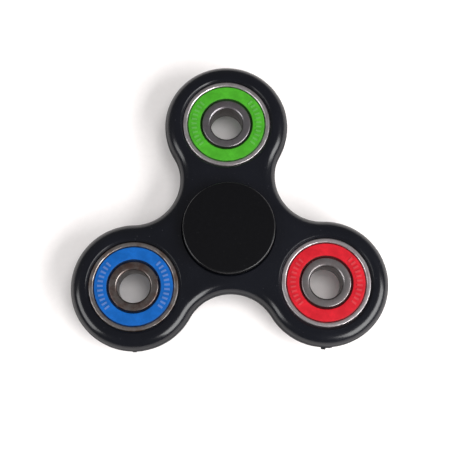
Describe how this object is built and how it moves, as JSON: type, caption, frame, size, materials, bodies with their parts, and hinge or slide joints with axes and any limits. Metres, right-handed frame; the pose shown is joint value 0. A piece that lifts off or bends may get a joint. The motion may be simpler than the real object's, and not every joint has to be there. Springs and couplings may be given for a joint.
{
  "type": "fidget spinner",
  "caption": "Flat three-lobed hand spinner with ball bearings in the middle and in each lobe and a round finger cap on both sides.",
  "frame": {"origin": "on the spin axis, halfway through the thickness", "axes": "+Z along the spin axis out of the front cap, +Y from the spin axis to the green lobe, +X to the right of it"},
  "size_m": [0.0774, 0.0711, 0.013],
  "materials": {
    "body_plastic": "satin-gloss black moulded plastic",
    "cap_plastic": "matte black moulded plastic, fine grain",
    "ring_steel": "ground bearing steel, slightly dark",
    "ball_steel": "polished steel",
    "pressed_steel": "bright pressed sheet",
    "cage_nylon": "natural nylon",
    "green_rubber": "matte moulded rubber",
    "blue_rubber": "matte moulded rubber",
    "red_rubber": "matte moulded rubber"
  },
  "bodies": {
    "grip": {"front_cap": "cap_plastic", "back_cap": "cap_plastic", "centre_inner_ring": "ring_steel"},
    "rotor": {"spinner_body": "body_plastic", "centre_outer_ring": "ring_steel", "centre_front_shield": "pressed_steel", "centre_back_shield": "pressed_steel", "green_outer_ring": "ring_steel", "green_front_seal": "green_rubber", "green_back_seal": "green_rubber", "green_front_seal_insert": "pressed_steel", "green_back_seal_insert": "pressed_steel", "blue_outer_ring": "ring_steel", "blue_front_seal": "blue_rubber", "blue_back_seal": "blue_rubber", "blue_front_seal_insert": "pressed_steel", "blue_back_seal_insert": "pressed_steel", "red_outer_ring": "ring_steel", "red_front_seal": "red_rubber", "red_back_seal": "red_rubber", "red_front_seal_insert": "pressed_steel", "red_back_seal_insert": "pressed_steel"},
    "green_inner": {"green_inner_ring": "ring_steel"},
    "blue_inner": {"blue_inner_ring": "ring_steel"},
    "red_inner": {"red_inner_ring": "ring_steel"},
    "centre_cage": {"centre_cage": "cage_nylon"},
    "centre_ball_1": {"centre_ball_1": "ball_steel"},
    "centre_ball_2": {"centre_ball_2": "ball_steel"},
    "centre_ball_3": {"centre_ball_3": "ball_steel"},
    "centre_ball_4": {"centre_ball_4": "ball_steel"},
    "centre_ball_5": {"centre_ball_5": "ball_steel"},
    "centre_ball_6": {"centre_ball_6": "ball_steel"},
    "centre_ball_7": {"centre_ball_7": "ball_steel"},
    "green_cage": {"green_cage": "cage_nylon"},
    "green_ball_1": {"green_ball_1": "ball_steel"},
    "green_ball_2": {"green_ball_2": "ball_steel"},
    "green_ball_3": {"green_ball_3": "ball_steel"},
    "green_ball_4": {"green_ball_4": "ball_steel"},
    "green_ball_5": {"green_ball_5": "ball_steel"},
    "green_ball_6": {"green_ball_6": "ball_steel"},
    "green_ball_7": {"green_ball_7": "ball_steel"},
    "blue_cage": {"blue_cage": "cage_nylon"},
    "blue_ball_1": {"blue_ball_1": "ball_steel"},
    "blue_ball_2": {"blue_ball_2": "ball_steel"},
    "blue_ball_3": {"blue_ball_3": "ball_steel"},
    "blue_ball_4": {"blue_ball_4": "ball_steel"},
    "blue_ball_5": {"blue_ball_5": "ball_steel"},
    "blue_ball_6": {"blue_ball_6": "ball_steel"},
    "blue_ball_7": {"blue_ball_7": "ball_steel"},
    "red_cage": {"red_cage": "cage_nylon"},
    "red_ball_1": {"red_ball_1": "ball_steel"},
    "red_ball_2": {"red_ball_2": "ball_steel"},
    "red_ball_3": {"red_ball_3": "ball_steel"},
    "red_ball_4": {"red_ball_4": "ball_steel"},
    "red_ball_5": {"red_ball_5": "ball_steel"},
    "red_ball_6": {"red_ball_6": "ball_steel"},
    "red_ball_7": {"red_ball_7": "ball_steel"}
  },
  "joints": [
    {"name": "body_spin", "type": "hinge", "parent": "grip", "child": "rotor", "pos_m": [0, 0, 0], "axis": [0, 0, 1], "continuous": true},
    {"name": "green_bearing_spin", "type": "hinge", "parent": "rotor", "child": "green_inner", "pos_m": [0, 0.0269, 0], "axis": [0, 0, 1], "continuous": true},
    {"name": "blue_bearing_spin", "type": "hinge", "parent": "rotor", "child": "blue_inner", "pos_m": [-0.0233, -0.01345, 0], "axis": [0, 0, 1], "continuous": true},
    {"name": "red_bearing_spin", "type": "hinge", "parent": "rotor", "child": "red_inner", "pos_m": [0.0233, -0.01345, 0], "axis": [0, 0, 1], "continuous": true},
    {"name": "centre_cage_orbit", "type": "hinge", "parent": "grip", "child": "centre_cage", "pos_m": [0, 0, 0], "axis": [0, 0, 1], "continuous": true},
    {"name": "centre_ball_1_roll", "type": "hinge", "parent": "centre_cage", "child": "centre_ball_1", "pos_m": [0.0075, 0, 0], "axis": [0, 0, 1], "continuous": true},
    {"name": "centre_ball_2_roll", "type": "hinge", "parent": "centre_cage", "child": "centre_ball_2", "pos_m": [0.00468, 0.00586, 0], "axis": [0, 0, 1], "continuous": true},
    {"name": "centre_ball_3_roll", "type": "hinge", "parent": "centre_cage", "child": "centre_ball_3", "pos_m": [-0.00167, 0.00731, 0], "axis": [0, 0, 1], "continuous": true},
    {"name": "centre_ball_4_roll", "type": "hinge", "parent": "centre_cage", "child": "centre_ball_4", "pos_m": [-0.00676, 0.00325, 0], "axis": [0, 0, 1], "continuous": true},
    {"name": "centre_ball_5_roll", "type": "hinge", "parent": "centre_cage", "child": "centre_ball_5", "pos_m": [-0.00676, -0.00325, 0], "axis": [0, 0, 1], "continuous": true},
    {"name": "centre_ball_6_roll", "type": "hinge", "parent": "centre_cage", "child": "centre_ball_6", "pos_m": [-0.00167, -0.00731, 0], "axis": [0, 0, 1], "continuous": true},
    {"name": "centre_ball_7_roll", "type": "hinge", "parent": "centre_cage", "child": "centre_ball_7", "pos_m": [0.00468, -0.00586, 0], "axis": [0, 0, 1], "continuous": true},
    {"name": "green_cage_orbit", "type": "hinge", "parent": "rotor", "child": "green_cage", "pos_m": [0, 0.0269, 0], "axis": [0, 0, 1], "continuous": true},
    {"name": "green_ball_1_roll", "type": "hinge", "parent": "green_cage", "child": "green_ball_1", "pos_m": [0.0075, 0.0269, 0], "axis": [0, 0, 1], "continuous": true},
    {"name": "green_ball_2_roll", "type": "hinge", "parent": "green_cage", "child": "green_ball_2", "pos_m": [0.00468, 0.03276, 0], "axis": [0, 0, 1], "continuous": true},
    {"name": "green_ball_3_roll", "type": "hinge", "parent": "green_cage", "child": "green_ball_3", "pos_m": [-0.00167, 0.03421, 0], "axis": [0, 0, 1], "continuous": true},
    {"name": "green_ball_4_roll", "type": "hinge", "parent": "green_cage", "child": "green_ball_4", "pos_m": [-0.00676, 0.03015, 0], "axis": [0, 0, 1], "continuous": true},
    {"name": "green_ball_5_roll", "type": "hinge", "parent": "green_cage", "child": "green_ball_5", "pos_m": [-0.00676, 0.02365, 0], "axis": [0, 0, 1], "continuous": true},
    {"name": "green_ball_6_roll", "type": "hinge", "parent": "green_cage", "child": "green_ball_6", "pos_m": [-0.00167, 0.01959, 0], "axis": [0, 0, 1], "continuous": true},
    {"name": "green_ball_7_roll", "type": "hinge", "parent": "green_cage", "child": "green_ball_7", "pos_m": [0.00468, 0.02104, 0], "axis": [0, 0, 1], "continuous": true},
    {"name": "blue_cage_orbit", "type": "hinge", "parent": "rotor", "child": "blue_cage", "pos_m": [-0.0233, -0.01345, 0], "axis": [0, 0, 1], "continuous": true},
    {"name": "blue_ball_1_roll", "type": "hinge", "parent": "blue_cage", "child": "blue_ball_1", "pos_m": [-0.0158, -0.01345, 0], "axis": [0, 0, 1], "continuous": true},
    {"name": "blue_ball_2_roll", "type": "hinge", "parent": "blue_cage", "child": "blue_ball_2", "pos_m": [-0.01862, -0.00759, 0], "axis": [0, 0, 1], "continuous": true},
    {"name": "blue_ball_3_roll", "type": "hinge", "parent": "blue_cage", "child": "blue_ball_3", "pos_m": [-0.02496, -0.00614, 0], "axis": [0, 0, 1], "continuous": true},
    {"name": "blue_ball_4_roll", "type": "hinge", "parent": "blue_cage", "child": "blue_ball_4", "pos_m": [-0.03005, -0.0102, 0], "axis": [0, 0, 1], "continuous": true},
    {"name": "blue_ball_5_roll", "type": "hinge", "parent": "blue_cage", "child": "blue_ball_5", "pos_m": [-0.03005, -0.0167, 0], "axis": [0, 0, 1], "continuous": true},
    {"name": "blue_ball_6_roll", "type": "hinge", "parent": "blue_cage", "child": "blue_ball_6", "pos_m": [-0.02496, -0.02076, 0], "axis": [0, 0, 1], "continuous": true},
    {"name": "blue_ball_7_roll", "type": "hinge", "parent": "blue_cage", "child": "blue_ball_7", "pos_m": [-0.01862, -0.01931, 0], "axis": [0, 0, 1], "continuous": true},
    {"name": "red_cage_orbit", "type": "hinge", "parent": "rotor", "child": "red_cage", "pos_m": [0.0233, -0.01345, 0], "axis": [0, 0, 1], "continuous": true},
    {"name": "red_ball_1_roll", "type": "hinge", "parent": "red_cage", "child": "red_ball_1", "pos_m": [0.0308, -0.01345, 0], "axis": [0, 0, 1], "continuous": true},
    {"name": "red_ball_2_roll", "type": "hinge", "parent": "red_cage", "child": "red_ball_2", "pos_m": [0.02797, -0.00759, 0], "axis": [0, 0, 1], "continuous": true},
    {"name": "red_ball_3_roll", "type": "hinge", "parent": "red_cage", "child": "red_ball_3", "pos_m": [0.02163, -0.00614, 0], "axis": [0, 0, 1], "continuous": true},
    {"name": "red_ball_4_roll", "type": "hinge", "parent": "red_cage", "child": "red_ball_4", "pos_m": [0.01654, -0.0102, 0], "axis": [0, 0, 1], "continuous": true},
    {"name": "red_ball_5_roll", "type": "hinge", "parent": "red_cage", "child": "red_ball_5", "pos_m": [0.01654, -0.0167, 0], "axis": [0, 0, 1], "continuous": true},
    {"name": "red_ball_6_roll", "type": "hinge", "parent": "red_cage", "child": "red_ball_6", "pos_m": [0.02163, -0.02076, 0], "axis": [0, 0, 1], "continuous": true},
    {"name": "red_ball_7_roll", "type": "hinge", "parent": "red_cage", "child": "red_ball_7", "pos_m": [0.02797, -0.01931, 0], "axis": [0, 0, 1], "continuous": true}
  ],
  "couplings": [
    {"joint": "centre_cage_orbit", "follows": "body_spin", "ratio": 0.6323},
    {"joint": "centre_ball_1_roll", "follows": "body_spin", "ratio": 1.7573},
    {"joint": "centre_ball_2_roll", "follows": "body_spin", "ratio": 1.7573},
    {"joint": "centre_ball_3_roll", "follows": "body_spin", "ratio": 1.7573},
    {"joint": "centre_ball_4_roll", "follows": "body_spin", "ratio": 1.7573},
    {"joint": "centre_ball_5_roll", "follows": "body_spin", "ratio": 1.7573},
    {"joint": "centre_ball_6_roll", "follows": "body_spin", "ratio": 1.7573},
    {"joint": "centre_ball_7_roll", "follows": "body_spin", "ratio": 1.7573},
    {"joint": "green_cage_orbit", "follows": "green_bearing_spin", "ratio": 0.3677},
    {"joint": "green_ball_1_roll", "follows": "green_bearing_spin", "ratio": -1.7573},
    {"joint": "green_ball_2_roll", "follows": "green_bearing_spin", "ratio": -1.7573},
    {"joint": "green_ball_3_roll", "follows": "green_bearing_spin", "ratio": -1.7573},
    {"joint": "green_ball_4_roll", "follows": "green_bearing_spin", "ratio": -1.7573},
    {"joint": "green_ball_5_roll", "follows": "green_bearing_spin", "ratio": -1.7573},
    {"joint": "green_ball_6_roll", "follows": "green_bearing_spin", "ratio": -1.7573},
    {"joint": "green_ball_7_roll", "follows": "green_bearing_spin", "ratio": -1.7573},
    {"joint": "blue_cage_orbit", "follows": "blue_bearing_spin", "ratio": 0.3677},
    {"joint": "blue_ball_1_roll", "follows": "blue_bearing_spin", "ratio": -1.7573},
    {"joint": "blue_ball_2_roll", "follows": "blue_bearing_spin", "ratio": -1.7573},
    {"joint": "blue_ball_3_roll", "follows": "blue_bearing_spin", "ratio": -1.7573},
    {"joint": "blue_ball_4_roll", "follows": "blue_bearing_spin", "ratio": -1.7573},
    {"joint": "blue_ball_5_roll", "follows": "blue_bearing_spin", "ratio": -1.7573},
    {"joint": "blue_ball_6_roll", "follows": "blue_bearing_spin", "ratio": -1.7573},
    {"joint": "blue_ball_7_roll", "follows": "blue_bearing_spin", "ratio": -1.7573},
    {"joint": "red_cage_orbit", "follows": "red_bearing_spin", "ratio": 0.3677},
    {"joint": "red_ball_1_roll", "follows": "red_bearing_spin", "ratio": -1.7573},
    {"joint": "red_ball_2_roll", "follows": "red_bearing_spin", "ratio": -1.7573},
    {"joint": "red_ball_3_roll", "follows": "red_bearing_spin", "ratio": -1.7573},
    {"joint": "red_ball_4_roll", "follows": "red_bearing_spin", "ratio": -1.7573},
    {"joint": "red_ball_5_roll", "follows": "red_bearing_spin", "ratio": -1.7573},
    {"joint": "red_ball_6_roll", "follows": "red_bearing_spin", "ratio": -1.7573},
    {"joint": "red_ball_7_roll", "follows": "red_bearing_spin", "ratio": -1.7573}
  ]
}
